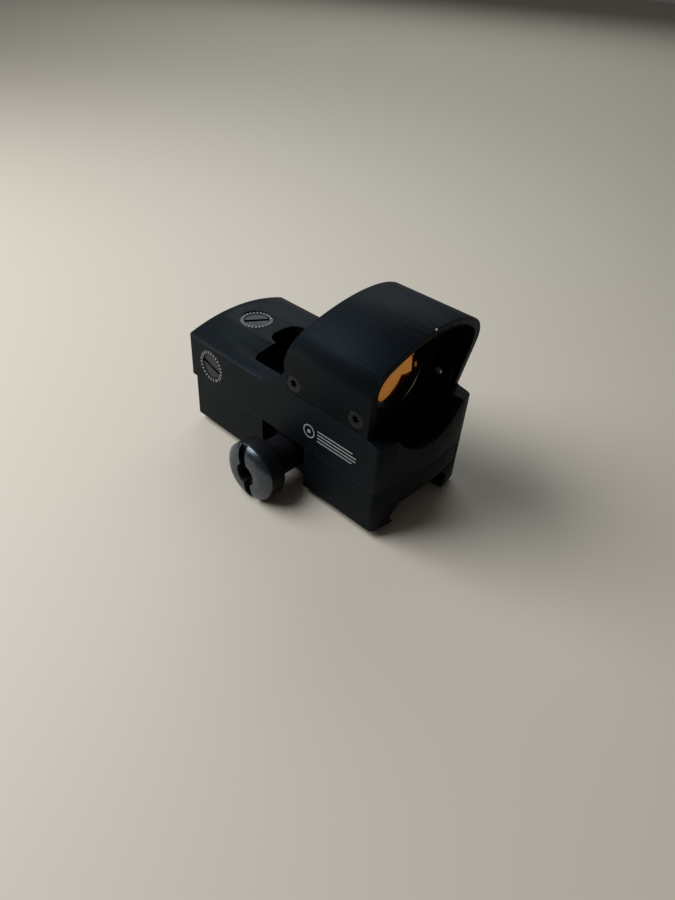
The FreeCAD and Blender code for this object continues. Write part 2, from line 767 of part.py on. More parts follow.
def switch_board():
    """Upright board that carries the two push switches."""
    back = SWITCH_BACK + BOARD_THICK
    top = BUTTON_Z + SWITCH_HALF * 2
    return box(SWITCH_BACK, back, CAVITY_REAR + 0.3, CAVITY_FRONT - 0.3, BOARD_TOP, top)


def switch_box(y, front, back, half):
    return box(front, back, y - half, y + half, BUTTON_Z - half, BUTTON_Z + half)


def push_switches():
    switches = []
    for y in BUTTON_YS.values():
        case = switch_box(y, SWITCH_FRONT, SWITCH_BACK, SWITCH_HALF)
        plunger = rod(0.8, (SWITCH_TIP, y, BUTTON_Z), (SWITCH_FRONT, y, BUTTON_Z))
        switches.append(joined([case, plunger]))
    return group(switches)


def rubber_button(y):
    """Domed rubber button; its stem stops just short of the switch at full travel."""
    outer = -HALF_WIDTH - BUTTON_PROUD
    rim = outer + 0.5
    inner = BUTTON_SEAT - BUTTON_TRAVEL - 0.4
    stem_end = SWITCH_TIP - BUTTON_TRAVEL - 0.1
    return turned([
        (outer, 0),
        (dome_middle(outer, rim, BUTTON_RADIUS), (rim, BUTTON_RADIUS)),
        (inner, BUTTON_RADIUS),
        (inner, BUTTON_STEM_RADIUS),
        (stem_end, BUTTON_STEM_RADIUS),
        (stem_end, 0),
    ], (0, y, BUTTON_Z))


# ------------------------------------------------------------------ dials and emitter

def dial_disc(direction, top, slot_turn, centre, stem_end, web):
    """Slotted disc on a threaded stem. Heights are measured along direction from the centre."""
    solid = joined([
        rod(DIAL_RADIUS, (0, 0, web), (0, 0, top)),
        rod(STEM_RADIUS, (0, 0, stem_end), (0, 0, web)),
    ])
    slot = box(-DIAL_RADIUS, DIAL_RADIUS, -0.5, 0.5, top - 0.8, top + 1)
    slot.rotate(Vector(0, 0, 0), Z_AXIS, slot_turn)
    solid = solid.cut(slot)
    if direction == "X":
        solid.rotate(Vector(0, 0, 0), Y_AXIS, 90)
    solid.translate(Vector(*centre))
    return solid


def elevation_dial():
    centre = (DIAL_X, DIAL_Y, 0)
    return dial_disc("Z", DIAL_FACE - 0.15, -32.7, centre, 11.5, DIAL_FACE - 1.7)


def windage_dial():
    centre = (0, WINDAGE_Y, WINDAGE_Z)
    return dial_disc("X", HALF_WIDTH - 0.2, 73.0, centre, 5.2, HALF_WIDTH - 1.9)


def dial_clips():
    """Retaining clip of each dial, just inside the cavity wall."""
    high = CAVITY_TOP - CLIP_GAP
    outer = CAVITY_HALF - CLIP_GAP
    ends = {
        "elevation_clip": ((DIAL_X, DIAL_Y, high - CLIP_THICK), (DIAL_X, DIAL_Y, high)),
        "windage_clip": ((outer - CLIP_THICK, WINDAGE_Y, WINDAGE_Z), (outer, WINDAGE_Y, WINDAGE_Z)),
    }
    return {name: tube(CLIP_RADIUS, STEM_RADIUS, *pair) for name, pair in ends.items()}


def index_rings():
    """Flush index ring around each dial."""
    inner = DIAL_RADIUS + 0.15
    low, high = (DIAL_X, DIAL_Y, DIAL_FACE - 0.5), (DIAL_X, DIAL_Y, DIAL_FACE)
    top = tube(DIAL_RING_RADIUS, inner, low, high)
    side = tube(DIAL_RING_RADIUS, inner, (HALF_WIDTH - 0.5, WINDAGE_Y, WINDAGE_Z),
                (HALF_WIDTH, WINDAGE_Y, WINDAGE_Z))
    return {"elevation_index_ring": top, "windage_index_ring": side}


def square_nut(axis, centre):
    """Square nut across the given axis, with a threaded hole that the dial's stem turns in."""
    half = NUT_SIZE / 2
    thin = NUT_THICK / 2
    x, y, z = centre
    dx, dz = (thin, half) if axis == "X" else (half, thin)
    nut = box(x - dx, x + dx, y - half, y + half, z - dz, z + dz)
    hole = STEM_RADIUS + THREAD_PLAY
    if axis == "X":
        return nut.cut(rod(hole, (x - FAR, y, z), (x + FAR, y, z)))
    return nut.cut(rod(hole, (x, y, z - FAR), (x, y, z + FAR)))


def elevation_nut():
    return square_nut("Z", (DIAL_X, DIAL_Y, NUT_Z))


def windage_nut():
    return square_nut("X", (NUT_X, WINDAGE_Y, WINDAGE_Z))


def emitter_block():
    """Floating block that both nuts move; each nut slides in its own slot, open to the rear."""
    slide = NUT_SLIDE
    loose = TRAVEL + CLEAR
    half = NUT_SIZE / 2
    thin = NUT_THICK / 2 + slide
    stem = STEM_RADIUS + CLEAR
    block = box(-7.0, 8.9, -27.4, -20.4, BLOCK_BOTTOM, BLOCK_TOP)
    arm = box(-2.6, 2.6, -20.5, -16.6, 12.6, BLOCK_TOP)
    elevation_slot = box(
        DIAL_X - half - loose, DIAL_X + half + loose, -FAR, DIAL_Y + half + slide,
        NUT_Z - thin, NUT_Z + thin)
    elevation_way = box(
        DIAL_X - stem - TRAVEL, DIAL_X + stem + TRAVEL, -FAR, DIAL_Y + stem, 10.6, FAR)
    windage_slot = box(
        NUT_X - thin, NUT_X + thin, -FAR, WINDAGE_Y + half + slide,
        WINDAGE_Z - half - loose, WINDAGE_Z + half + loose)
    windage_way = box(
        4.4, FAR, -FAR, WINDAGE_Y + stem, WINDAGE_Z - stem - TRAVEL, WINDAGE_Z + stem + TRAVEL)
    body = joined([block, arm])
    body = body.cut([elevation_slot, elevation_way, windage_slot, windage_way])
    return body.cut(led_rod(LED_RADIUS, LED_BACK, FAR))


def led_rod(radius, rear, front):
    return rod(radius, (0, rear, LED_Z), (0, front, LED_Z))


def emitter_led():
    """Small clear emitter pressed into the block's arm, with a domed nose."""
    flange_front = LED_FLANGE + LED_FLANGE_THICK
    nose_radius = LED_RADIUS - 0.1
    nose_front = flange_front + 0.6
    return joined([
        led_rod(LED_RADIUS, LED_BACK, LED_FLANGE),
        led_rod(LED_RADIUS + 0.25, LED_FLANGE, flange_front),
        led_rod(nose_radius, flange_front, nose_front),
        Part.makeSphere(nose_radius, Vector(0, nose_front, LED_Z)),
    ])


# ------------------------------------------------------------------ output

def pieces():
    """Every node of the sight, by name."""
    nodes = {
        "rail_base": rail_base(),
        "base_gasket": gasket_ring(),
        "base_screws": base_screws(),
        "jaw_guide_pins": jaw_guide_pins(),
        "housing": housing(),
        "lens_hood": lens_hood(),
        "hood_screws": hood_screws(),
        "lens_frame": lens_frame(),
        "lens": lens(),
        "lens_retaining_ring": lens_retaining_ring(),
        "battery": battery(),
        "battery_contact_positive": battery_contact_positive(),
        "battery_contact_negative": battery_contact_negative(),
        "circuit_board": circuit_board(),
        "board_screws": board_screws(),
        "control_chips": control_chips(),
        "switch_board": switch_board(),
        "push_switches": push_switches(),
        "clamp_knob": clamp_knob(),
        "clamp_bolt": clamp_bolt(),
        "clamp_jaw": clamp_jaw(),
        "jaw_nut": jaw_nut(),
        "elevation_dial": elevation_dial(),
        "windage_dial": windage_dial(),
        "elevation_nut": elevation_nut(),
        "windage_nut": windage_nut(),
        "emitter_block": emitter_block(),
        "emitter_led": emitter_led(),
    }
    nodes.update(dial_clips())
    nodes.update(index_rings())
    for name, y in BUTTON_YS.items():
        nodes[name] = rubber_button(y)
    return nodes


os.makedirs("parts", exist_ok=True)
for name, shape in pieces().items():
    if not shape.isValid():
        print("not valid:", name)
    shape.exportStep("parts/" + name + ".step")
    print(name, "solids", len(shape.Solids), "volume", round(shape.Volume, 1))
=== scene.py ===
"""Looks of the reflex red dot sight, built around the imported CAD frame. Lengths are in metres."""

import json
import math

import bpy
from mathutils import Matrix, Vector


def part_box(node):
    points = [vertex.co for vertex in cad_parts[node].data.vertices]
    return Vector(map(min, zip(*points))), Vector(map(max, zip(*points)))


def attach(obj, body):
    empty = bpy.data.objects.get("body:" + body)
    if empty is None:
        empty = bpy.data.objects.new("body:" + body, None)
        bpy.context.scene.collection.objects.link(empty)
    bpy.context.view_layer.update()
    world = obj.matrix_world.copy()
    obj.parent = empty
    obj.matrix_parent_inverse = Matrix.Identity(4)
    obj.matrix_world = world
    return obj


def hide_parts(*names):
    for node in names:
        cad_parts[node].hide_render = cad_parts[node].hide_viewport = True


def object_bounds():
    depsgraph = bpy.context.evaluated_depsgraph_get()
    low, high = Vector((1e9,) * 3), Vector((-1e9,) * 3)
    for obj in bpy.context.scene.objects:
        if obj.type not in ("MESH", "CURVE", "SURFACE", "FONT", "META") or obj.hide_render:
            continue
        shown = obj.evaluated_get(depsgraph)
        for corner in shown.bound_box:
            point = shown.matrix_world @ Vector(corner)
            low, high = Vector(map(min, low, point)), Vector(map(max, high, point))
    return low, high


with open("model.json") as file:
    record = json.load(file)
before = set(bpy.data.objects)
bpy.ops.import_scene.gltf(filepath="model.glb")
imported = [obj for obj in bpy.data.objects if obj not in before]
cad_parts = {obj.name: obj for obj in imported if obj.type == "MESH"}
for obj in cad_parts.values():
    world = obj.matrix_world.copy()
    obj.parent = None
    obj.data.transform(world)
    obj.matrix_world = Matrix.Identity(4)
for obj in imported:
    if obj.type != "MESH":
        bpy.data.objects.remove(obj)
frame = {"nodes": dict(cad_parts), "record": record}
cad_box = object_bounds()

MM = 0.001

# ---- camera: it looks along a line given by azimuth and elevation, turned by a small roll
CAMERA_AZIMUTH = 49.33       # degrees from +Y towards +X
CAMERA_ELEVATION = 39.04
CAMERA_ROLL = 4.68
CAMERA_DISTANCE = 166.1 * MM
CAMERA_AIM = Vector((4.5, 9.6, -0.5)) * MM
CAMERA_LENS = 26.9           # millimetres
CAMERA_SENSOR = 36           # millimetres
CAMERA_NEAREST = 10 * MM

# ---- stage
FLOOR_SIZE = 3.0
FLOOR_TONE = (0.66, 0.57, 0.46, 1)
LIGHTS_AIM = Vector((0, 0, 10)) * MM
WORLD_TONE = (0.95, 0.95, 0.92, 1)
WORLD_STRENGTH = 0.07

# ---- edges
BEVEL = 0.17 * MM
SMALL_BEVEL = 0.04 * MM
LARGE_PART = 20 * MM         # a part whose diagonal is longer gets the wide bevel
SAME_POINT = 1e-7
SMOOTH_ANGLE = math.radians(28)
DISSOLVE_ANGLE = math.radians(0.05)
SHARP_ANGLE = math.radians(35)

# ---- printed marks
PAINT = 0.02 * MM            # thickness of a printed mark
TICKS = 26                   # places around each dial
ARROW_TICKS = 2              # how many of them the direction arrow takes
TICK_HALF_WIDTH = 0.13 * MM
TICK_GAP = 0.15 * MM         # between the dial and the band that holds the ticks
INNER_MARGIN = 0.15          # parts of the band's width that the ticks leave bare
OUTER_MARGIN = 0.12

# ---- emblem on the housing's side
EMBLEM_CENTRE = (10.6 * MM, 11.9 * MM)      # along Y and Z
EMBLEM_RADIUS = 1.75 * MM
EMBLEM_STROKE = 0.28 * MM
EMBLEM_DOT = 0.5 * MM
EMBLEM_GAP = 0.9 * MM        # between the ring and its lines
LINE_HEIGHTS = (1.35, 0.45, -0.45, -1.35)
LINE_LENGTH = 12.0
LINE_SHORTENING = 1.1        # the outer lines are shorter than the inner ones

# ---- painted shade inside the bore: dark matt paint on the faces there, and where it stops
BORE_SIDE_WALL = 1.6 * MM
BORE_FRONT_WALL = 1.6 * MM
BEHIND_LAMP = 1.0 * MM
UNDER_FRAME = 1.0 * MM
NOTCH_DROP = 9.0 * MM        # the upward faces lower than this under the lens's middle are painted

# ---- knob: a polished dome, black below its surface: partly its own black, partly painted shade in the slot and on the neck
DOME_RUN = 3.4 * MM
DOME_DROP = 1.6 * MM
POLISH_END = 0.5 * MM        # depth under the dome's surface where the polish ends
POLISH_FULL = 0.3 * MM       # and down to which it is full

# ---- lens coat, and a painted highlight on the hood's front edge: a pale spot where the edge glints
COAT_RADIUS = 8.3 * MM
COAT_EDGE = 0.06 * MM
COAT_LEAN = (0.09, 0.0, 0.08)    # tips the coat's normal, to put its reflection where the photo has it
# painted highlight: a pale spot on the hood's front edge, where the edge glints
EDGE_GLINT = (Vector((3.0, 31.0, 41.6)) * MM, 0.36 * MM, 0.4)      # middle, reach and blur

# ---- signs on the keys
SIGN_HALF_WIDTH = 0.24 * MM
SIGN_HALF_LENGTH = 1.25 * MM
SIGN_BLUR = 0.04 * MM
SIGN_START = 1.0 * MM        # outwards from the key's middle: where the sign begins
SIGN_FULL = 1.2 * MM

# ---- colours
SATIN_BLACK = (0.0026, 0.0037, 0.0047, 1)
HOOD_BLACK = (0.0022, 0.0034, 0.0048, 1)
BASE_BLACK = (0.0022, 0.0031, 0.0042, 1)
# paler edges: rubbed wear, and painted highlight for the light lines along the edges
EDGE_WEAR_AND_HIGHLIGHT = (0.075, 0.08, 0.085, 1)
COOL_SHEEN = (0.62, 0.84, 1.0, 1)
# dark matt tone of the painted shade inside the bore and the hood
INSIDE_SHADE_BLACK = (0.0016, 0.0016, 0.0017, 1)
DUST = (0.11, 0.11, 0.105, 1)
# pale tone of the painted highlight on the hood's front edge
GLINT_TONE = (0.75, 0.74, 0.72, 1)

# ---- inner ends of the hood screws
SCREW_HEAD_RADIUS = 2.15 * MM
TIP_RADIUS = 0.95 * MM
TIP_CHAMFER = 0.25 * MM
TIP_FACE = 11.5 * MM         # how far the end is from the middle plane
TIP_ROOT = 12.9 * MM
TIP_SIDES = 24

# ---- clamp bolt
THREAD_PITCH = 0.8 * MM
THREAD_DEPTH = 0.4 * MM
THREAD_LENGTH = 9.0 * MM
BOLT_SIDES = 48
RINGS_PER_TURN = 8


def middle(name):
    """Middle of a CAD node's box."""
    low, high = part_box(name)
    return (low + high) / 2


# ------------------------------------------------------------------ node helpers

class Nodes:
    """Builds one material's node tree in few words."""

    def __init__(self, name):
        self.material = bpy.data.materials.new(name)
        self.material.use_nodes = True
        self.tree = self.material.node_tree
        self.shader = self.tree.nodes["Principled BSDF"]

    def new(self, kind, **settings):
        """Add a node."""
        node = self.tree.nodes.new(kind)
        for key, value in settings.items():
            setattr(node, key, value)
        return node

    def plug(self, source, target):
        """Link a socket, or set a plain value."""
        if isinstance(source, bpy.types.NodeSocket):
            self.tree.links.new(source, target)
        else:
            target.default_value = source

    def math(self, operation, a, b=0.0):
        """One step of arithmetic on numbers."""
        node = self.new("ShaderNodeMath", operation=operation)
        self.plug(a, node.inputs[0])
        self.plug(b, node.inputs[1])
        return node.outputs[0]

    def times(self, a, b):
        """Product of two numbers."""
        return self.math("MULTIPLY", a, b)

    def vector(self, operation, *sources):
        """One step of arithmetic on vectors; the result is a vector or a number."""
        node = self.new("ShaderNodeVectorMath", operation=operation)
        for source, socket in zip(sources, node.inputs):
            self.plug(source, socket)
        number = operation in ("LENGTH", "DISTANCE", "DOT_PRODUCT")
        return node.outputs["Value" if number else "Vector"]

    def mix(self, factor, a, b):
        """Blend two colours; the node's colour sockets are the ones used."""
        node = self.new("ShaderNodeMix", data_type="RGBA")
        self.plug(factor, node.inputs[0])
        self.plug(a, node.inputs[6])
        self.plug(b, node.inputs[7])
        return node.outputs[2]

    def blend(self, factor, a, b):
        """Blend two numbers."""
        node = self.new("ShaderNodeMix", data_type="FLOAT")
        self.plug(factor, node.inputs[0])
        self.plug(a, node.inputs[2])
        self.plug(b, node.inputs[3])
        return node.outputs[0]

    def span(self, value, low, high, to_low=0.0, to_high=1.0):
        """Map a range to another one, held at both ends."""
        node = self.new("ShaderNodeMapRange", interpolation_type="SMOOTHSTEP")
        for source, socket in zip((value, low, high, to_low, to_high), node.inputs):
            self.plug(source, socket)
        return node.outputs[0]

    def place(self):
        """The point on the object, in metres."""
        return self.new("ShaderNodeTexCoord").outputs["Object"]

    def noise(self, size, detail=3.0, roughness=0.5, stretch=(1, 1, 1), seed=0.0):
        """Noise whose blobs are about that large, in metres."""
        mapping = self.new("ShaderNodeMapping")
        self.plug(self.place(), mapping.inputs["Vector"])
        mapping.inputs["Scale"].default_value = stretch
        mapping.inputs["Location"].default_value = (seed, seed * 0.7, -seed)
        node = self.new("ShaderNodeTexNoise")
        self.plug(mapping.outputs[0], node.inputs["Vector"])
        node.inputs["Scale"].default_value = 1.0 / size
        node.inputs["Detail"].default_value = detail
        node.inputs["Roughness"].default_value = roughness
        return node.outputs["Fac"]

    def normal(self):
        """The surface's normal."""
        return self.new("ShaderNodeNewGeometry").outputs["Normal"]

    def part_of(self, vector, axis):
        """One coordinate of a vector."""
        node = self.new("ShaderNodeSeparateXYZ")
        self.plug(vector, node.inputs[0])
        return node.outputs[axis]

    def radius(self, centre, axis):
        """Distance from a line through the centre along X, Y or Z."""
        away = self.vector("SUBTRACT", self.place(), centre)
        across = [0.0 if name == axis else 1.0 for name in "XYZ"]
        return self.vector("LENGTH", self.vector("MULTIPLY", away, across))

    def near(self, centre, reach, blur=0.3):
        """1 within reach of a point, fading to 0."""
        gap = self.vector("DISTANCE", self.place(), centre)
        return self.span(gap, reach, reach * (1 - blur))

    def facing_up(self):
        """1 on faces that look up, 0 on upright ones."""
        return self.span(self.part_of(self.normal(), 2), 0.3, 0.95)

    def beyond(self, value, edge, blur=0.2 * MM):
        """1 where a length is over the edge, 0 under it."""
        return self.span(value, edge - blur / 2, edge + blur / 2)

    def leaning(self, lean):
        """The surface's normal, leant over by a small vector."""
        return self.vector("NORMALIZE", self.vector("ADD", self.normal(), lean))

    def cells(self, size):
        """Distance from the middle of the nearest of many scattered cells."""
        node = self.new("ShaderNodeTexVoronoi", feature="F1")
        self.plug(self.place(), node.inputs["Vector"])
        node.inputs["Scale"].default_value = 1.0 / size
        return node.outputs["Distance"]

    def edges(self, reach):
        """Near 1 on sharp outer edges, fading to 0 about reach away from them."""
        bevel = self.new("ShaderNodeBevel", samples=6)
        bevel.inputs["Radius"].default_value = reach
        likeness = self.vector("DOT_PRODUCT", bevel.outputs[0], self.normal())
        return self.span(likeness, 0.985, 0.86)

    def bump(self, height, distance, strength=1.0):
        """Normal of a surface raised by a height."""
        node = self.new("ShaderNodeBump")
        self.plug(height, node.inputs["Height"])
        node.inputs["Distance"].default_value = distance
        node.inputs["Strength"].default_value = strength
        return node.outputs[0]

    def finish(self, **sockets):
        """Plug the shader's sockets and give back the material."""
        for name, value in sockets.items():
            self.plug(value, self.shader.inputs[name.replace("_", " ")])
        return self.material


# ------------------------------------------------------------------ materials

def paler(colour, times):
    """A colour made brighter, or darker when times is under 1."""
    return [channel * times for channel in colour[:3]] + [1]


def bore_painted_shade(n):
    """1 on the body's surfaces inside the bore and notch, which get painted shade: dark matt paint for
    the shade that falls there.
    """
    glass = middle("lens")
    low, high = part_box("lens_frame")
    here = n.place()
    x, y, z = (n.part_of(here, k) for k in range(3))
    side = n.beyond(n.math("ABSOLUTE", x), high.x - BORE_SIDE_WALL)
    rear = n.beyond(y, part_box("emitter_led")[1].y - BEHIND_LAMP)
    front = n.beyond(y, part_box("housing")[1].y - BORE_FRONT_WALL)
    top = n.times(n.facing_up(), n.beyond(z, glass.z - NOTCH_DROP))
    mask = n.times(rear, n.beyond(z, low.z - UNDER_FRAME))
    for outside in (side, front, top):
        mask = n.times(mask, n.math("SUBTRACT", 1.0, outside))
    return mask


def inward_painted_shade(n):
    """1 on surfaces that face the line of sight; inside the hood these get painted shade."""
    away = n.vector("SUBTRACT", n.place(), middle("lens"))
    outward = n.vector("NORMALIZE", n.vector("MULTIPLY", away, (1, 0, 1)))
    return n.span(n.vector("DOT_PRODUCT", outward, n.normal()), -0.1, -0.3)


def anodised(name, base, worn, roughness=0.52, specular=0.11, glint=None, painted=None):
    """Dyed anodised aluminium over a fine bead blast, paler along its edges: rubbed wear, and a painted
    highlight along them. It can also take painted shade inside and a painted glint.
    """
    n = Nodes(name)
    blast = n.noise(0.09 * MM, 2.0, 0.6)
    cloud = n.noise(7 * MM, 4.0, 0.55, seed=3.1)
    smear = n.noise(2.2 * MM, 3.0, 0.6, (1, 0.35, 1), seed=8.4)
    patchy = n.span(n.noise(1.1 * MM, 4.0, 0.7, seed=1.7), 0.38, 0.62)
    # paler edges: rubbed wear, and painted highlight along the edges
    edge_wear_and_highlight = n.times(n.edges(0.2 * MM), patchy)
    dust = n.times(n.facing_up(), n.span(n.noise(0.5 * MM, 5.0, 0.8, seed=5.5), 0.6, 0.78))
    tone = n.mix(n.span(cloud, 0.3, 0.7), base, paler(base, 1.3))
    tone = n.mix(n.span(blast, 0.5, 0.78, 0.0, 0.3), tone, paler(base, 2.0))
    tone = n.mix(n.times(dust, 0.12), tone, DUST)
    tone = n.mix(n.times(edge_wear_and_highlight, 0.6), tone, worn)
    rough = n.blend(n.span(smear, 0.3, 0.75), roughness - 0.02, roughness + 0.02)
    rough = n.blend(edge_wear_and_highlight, rough, roughness - 0.12)
    # painted shade: the masked faces inside are made dark, matt and dull
    if painted:
        mask = painted(n)
        tone = n.mix(mask, tone, INSIDE_SHADE_BLACK)
        rough = n.blend(mask, rough, 0.75)
        specular = n.blend(mask, specular, 0.05)
    # painted highlight: a pale spot where the hood's front edge glints
    if glint:
        glint_spot = n.near(*glint)
        tone = n.mix(glint_spot, tone, GLINT_TONE)
        rough = n.blend(glint_spot, rough, 0.3)
    return n.finish(
        Base_Color=tone, Roughness=rough, Specular_IOR_Level=specular,
        Specular_Tint=COOL_SHEEN, Normal=n.bump(blast, 0.01 * MM, 0.5))


def turned(name, base, centre, axis, roughness=0.3, metallic=1.0, pitch=0.09 * MM):
    """Metal turned in a lathe: fine rings about an axis, with a few stray scratches, and a painted
    highlight along its edges.
    """
    n = Nodes(name)
    radius = n.radius(centre, axis)
    rings = n.math("SINE", n.times(radius, math.tau / pitch))
    scratch = n.noise(0.5 * MM, 5.0, 0.8, (1, 0.12, 1), seed=2.2)
    tone = n.mix(n.span(n.noise(1.5 * MM, 4.0, 0.6), 0.3, 0.7), base, paler(base, 0.72))
    # painted highlight: the edges made paler
    tone = n.mix(n.times(n.edges(0.15 * MM), 0.5), tone, paler(base, 2.2))
    rough = n.blend(n.span(scratch, 0.45, 0.7), roughness, roughness + 0.12)
    normal = n.bump(rings, 0.003 * MM, 0.35)
    return n.finish(Base_Color=tone, Roughness=rough, Metallic=metallic, Normal=normal)


def knob_metal():
    """Polished dome over a black knob: what lies under the dome's surface is black, partly the knob's
    own black and partly painted shade in the slot and on the neck.
    """
    low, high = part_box("clamp_knob")
    outer = (high.z - low.z) / 2
    flat = outer - DOME_RUN
    n = Nodes("knob_gunmetal")
    radius = n.radius(middle("clamp_knob"), "X")
    rise = n.math("DIVIDE", n.math("SUBTRACT", radius, flat), outer - flat)
    rise = n.math("MAXIMUM", rise, 0.0)
    drop = n.times(n.times(rise, rise), DOME_DROP)
    under = n.math("SUBTRACT", high.x, n.part_of(n.place(), 0))
    bright = n.span(n.math("SUBTRACT", under, drop), POLISH_END, POLISH_FULL)
    rings = n.math("SINE", n.times(radius, math.tau / (0.14 * MM)))
    haze = n.noise(0.9 * MM, 5.0, 0.7, seed=4.0)
    dots = n.noise(0.16 * MM, 3.0, 0.7, seed=9.0)
    polished = n.mix(n.span(haze, 0.3, 0.7), (0.07, 0.08, 0.093, 1), (0.095, 0.11, 0.13, 1))
    polished = n.mix(n.span(dots, 0.64, 0.74, 0.0, 0.4), polished, (0.02, 0.021, 0.023, 1))
    # below the dome: black, partly the knob's own black and partly painted shade in the slot and on the
    # neck
    tone = n.mix(bright, (0.007, 0.007, 0.008, 1), polished)
    rough = n.blend(bright, 0.5, n.span(haze, 0.3, 0.7, 0.24, 0.36))
    return n.finish(
        Base_Color=tone, Roughness=rough, Metallic=n.times(bright, 0.95),
        Specular_IOR_Level=0.12, Normal=n.bump(rings, 0.004 * MM, 0.4))


def ground(name, base, roughness, metallic=1.0, grain=(1, 0.1, 1)):
    """Ground or plated metal with a faint one-way grain and small stains."""
    n = Nodes(name)
    lines = n.noise(0.25 * MM, 4.0, 0.7, grain, seed=6.0)
    stain = n.span(n.noise(1.3 * MM, 5.0, 0.65, seed=2.0), 0.52, 0.7)
    tone = n.mix(n.times(stain, 0.4), base, paler(base, 0.55))
    tone = n.mix(n.times(n.edges(0.12 * MM), 0.5), tone, paler(base, 1.35))
    rough = n.blend(stain, n.span(lines, 0.3, 0.7, roughness - 0.06, roughness + 0.08), roughness + 0.15)
    return n.finish(
        Base_Color=tone, Roughness=rough, Metallic=metallic, Normal=n.bump(lines, 0.004 * MM, 0.4))


def moulded(name, base, roughness, grain=0.12 * MM, depth=0.01 * MM):
    """Moulded rubber or plastic: a fine even texture, rubbed a little shinier in places."""
    n = Nodes(name)
    skin = n.noise(grain, 3.0, 0.6)
    worn = n.span(n.noise(1.6 * MM, 4.0, 0.6, seed=7.0), 0.4, 0.65)
    tone = n.mix(worn, base, paler(base, 1.45))
    rough = n.blend(worn, roughness, roughness - 0.12)
    return n.finish(
        Base_Color=tone, Roughness=rough, Specular_IOR_Level=0.4, Normal=n.bump(skin, depth, 0.6))


def key_rubber(name, node, upright):
    """Button rubber with a pale moulded plus, or a minus without the upright stroke."""
    n = Nodes(name)
    centre = middle(node)
    along = n.math("ABSOLUTE", n.math("SUBTRACT", n.part_of(n.place(), 1), centre.y))
    up = n.math("ABSOLUTE", n.math("SUBTRACT", n.part_of(n.place(), 2), centre.z))

    def stroke(across, run):
        inside = n.span(across, SIGN_HALF_WIDTH, SIGN_HALF_WIDTH - SIGN_BLUR)
        return n.times(inside, n.span(run, SIGN_HALF_LENGTH, SIGN_HALF_LENGTH - SIGN_BLUR))

    sign = stroke(up, along)
    if upright:
        sign = n.math("MAXIMUM", sign, stroke(along, up))
    outside = n.span(n.part_of(n.place(), 0), centre.x - SIGN_START, centre.x - SIGN_FULL)
    sign = n.times(sign, outside)
    skin = n.noise(0.12 * MM, 3.0, 0.6)
    worn = n.span(n.noise(0.5 * MM, 4.0, 0.7, seed=7.0), 0.35, 0.62)
    tone = n.mix(worn, (0.012, 0.012, 0.013, 1), (0.019, 0.019, 0.020, 1))
    tone = n.mix(sign, tone, n.mix(worn, (0.42, 0.43, 0.44, 1), (0.30, 0.31, 0.32, 1)))
    height = n.math("ADD", n.times(skin, 0.15), sign)
    return n.finish(
        Base_Color=tone, Roughness=n.blend(worn, 0.62, 0.5), Specular_IOR_Level=0.4,
        Normal=n.bump(height, 0.05 * MM, 0.7))


def mark_paint():
    """Pale printed or engraved mark, thin in places."""
    n = Nodes("mark_paint")
    thin = n.span(n.noise(0.2 * MM, 4.0, 0.8), 0.5, 0.75)
    tone = n.mix(n.times(thin, 0.7), (0.34, 0.345, 0.35, 1), (0.06, 0.062, 0.065, 1))
    return n.finish(Base_Color=tone, Roughness=n.blend(thin, 0.5, 0.65), Normal=n.bump(thin, 0.01 * MM))


def circuit_laminate():
    """Green solder mask over raised copper tracks, with round gold pads."""
    n = Nodes("board_green")
    tracks = n.new("ShaderNodeTexBrick", offset=0.37, offset_frequency=3, squash=0.6, squash_frequency=2)
    n.plug(n.place(), tracks.inputs["Vector"])
    tracks.inputs["Scale"].default_value = 1 / (3 * MM)
    tracks.inputs["Mortar Size"].default_value = 0.05
    line = tracks.outputs["Fac"]
    pad = n.span(n.cells(1.9 * MM), 0.16, 0.12)
    mask = n.mix(line, (0.008, 0.075, 0.03, 1), (0.02, 0.16, 0.06, 1))
    tone = n.mix(pad, mask, (0.62, 0.5, 0.22, 1))
    height = n.math("MAXIMUM", line, pad)
    return n.finish(
        Base_Color=tone, Roughness=n.blend(pad, 0.32, 0.25), Metallic=n.times(pad, 0.9),
        Normal=n.bump(height, 0.03 * MM, 0.6))


def coated_glass():
    """Clear glass with an orange reflecting coat, lightly dusty."""
    n = Nodes("lens_glass")
    dust = n.span(n.noise(0.35 * MM, 5.0, 0.8), 0.62, 0.8)
    smear = n.span(n.noise(3.0 * MM, 4.0, 0.6, seed=4.0), 0.4, 0.7)
    tone = n.mix(smear, (1.0, 0.40, 0.05, 1), (1.0, 0.46, 0.09, 1))
    coat = n.span(n.radius(middle("lens"), "Y"), COAT_RADIUS + COAT_EDGE, COAT_RADIUS)
    tone = n.mix(coat, (0.06, 0.056, 0.043, 1), tone)
    gloss = n.blend(dust, 0.015, 0.12)
    return n.finish(
        Base_Color=tone, Roughness=n.blend(coat, 0.25, gloss), Metallic=n.times(coat, 0.7),
        Transmission_Weight=1.0, IOR=1.5, Normal=n.leaning(COAT_LEAN))


def led_epoxy():
    """Smoky clear plastic of the emitter."""
    n = Nodes("led_clear")
    swirl = n.noise(0.6 * MM, 3.0, 0.5)
    tone = n.mix(swirl, (0.030, 0.018, 0.017, 1), (0.05, 0.032, 0.030, 1))
    return n.finish(
        Base_Color=tone, Roughness=n.blend(swirl, 0.25, 0.4), Transmission_Weight=0.5, IOR=1.2)


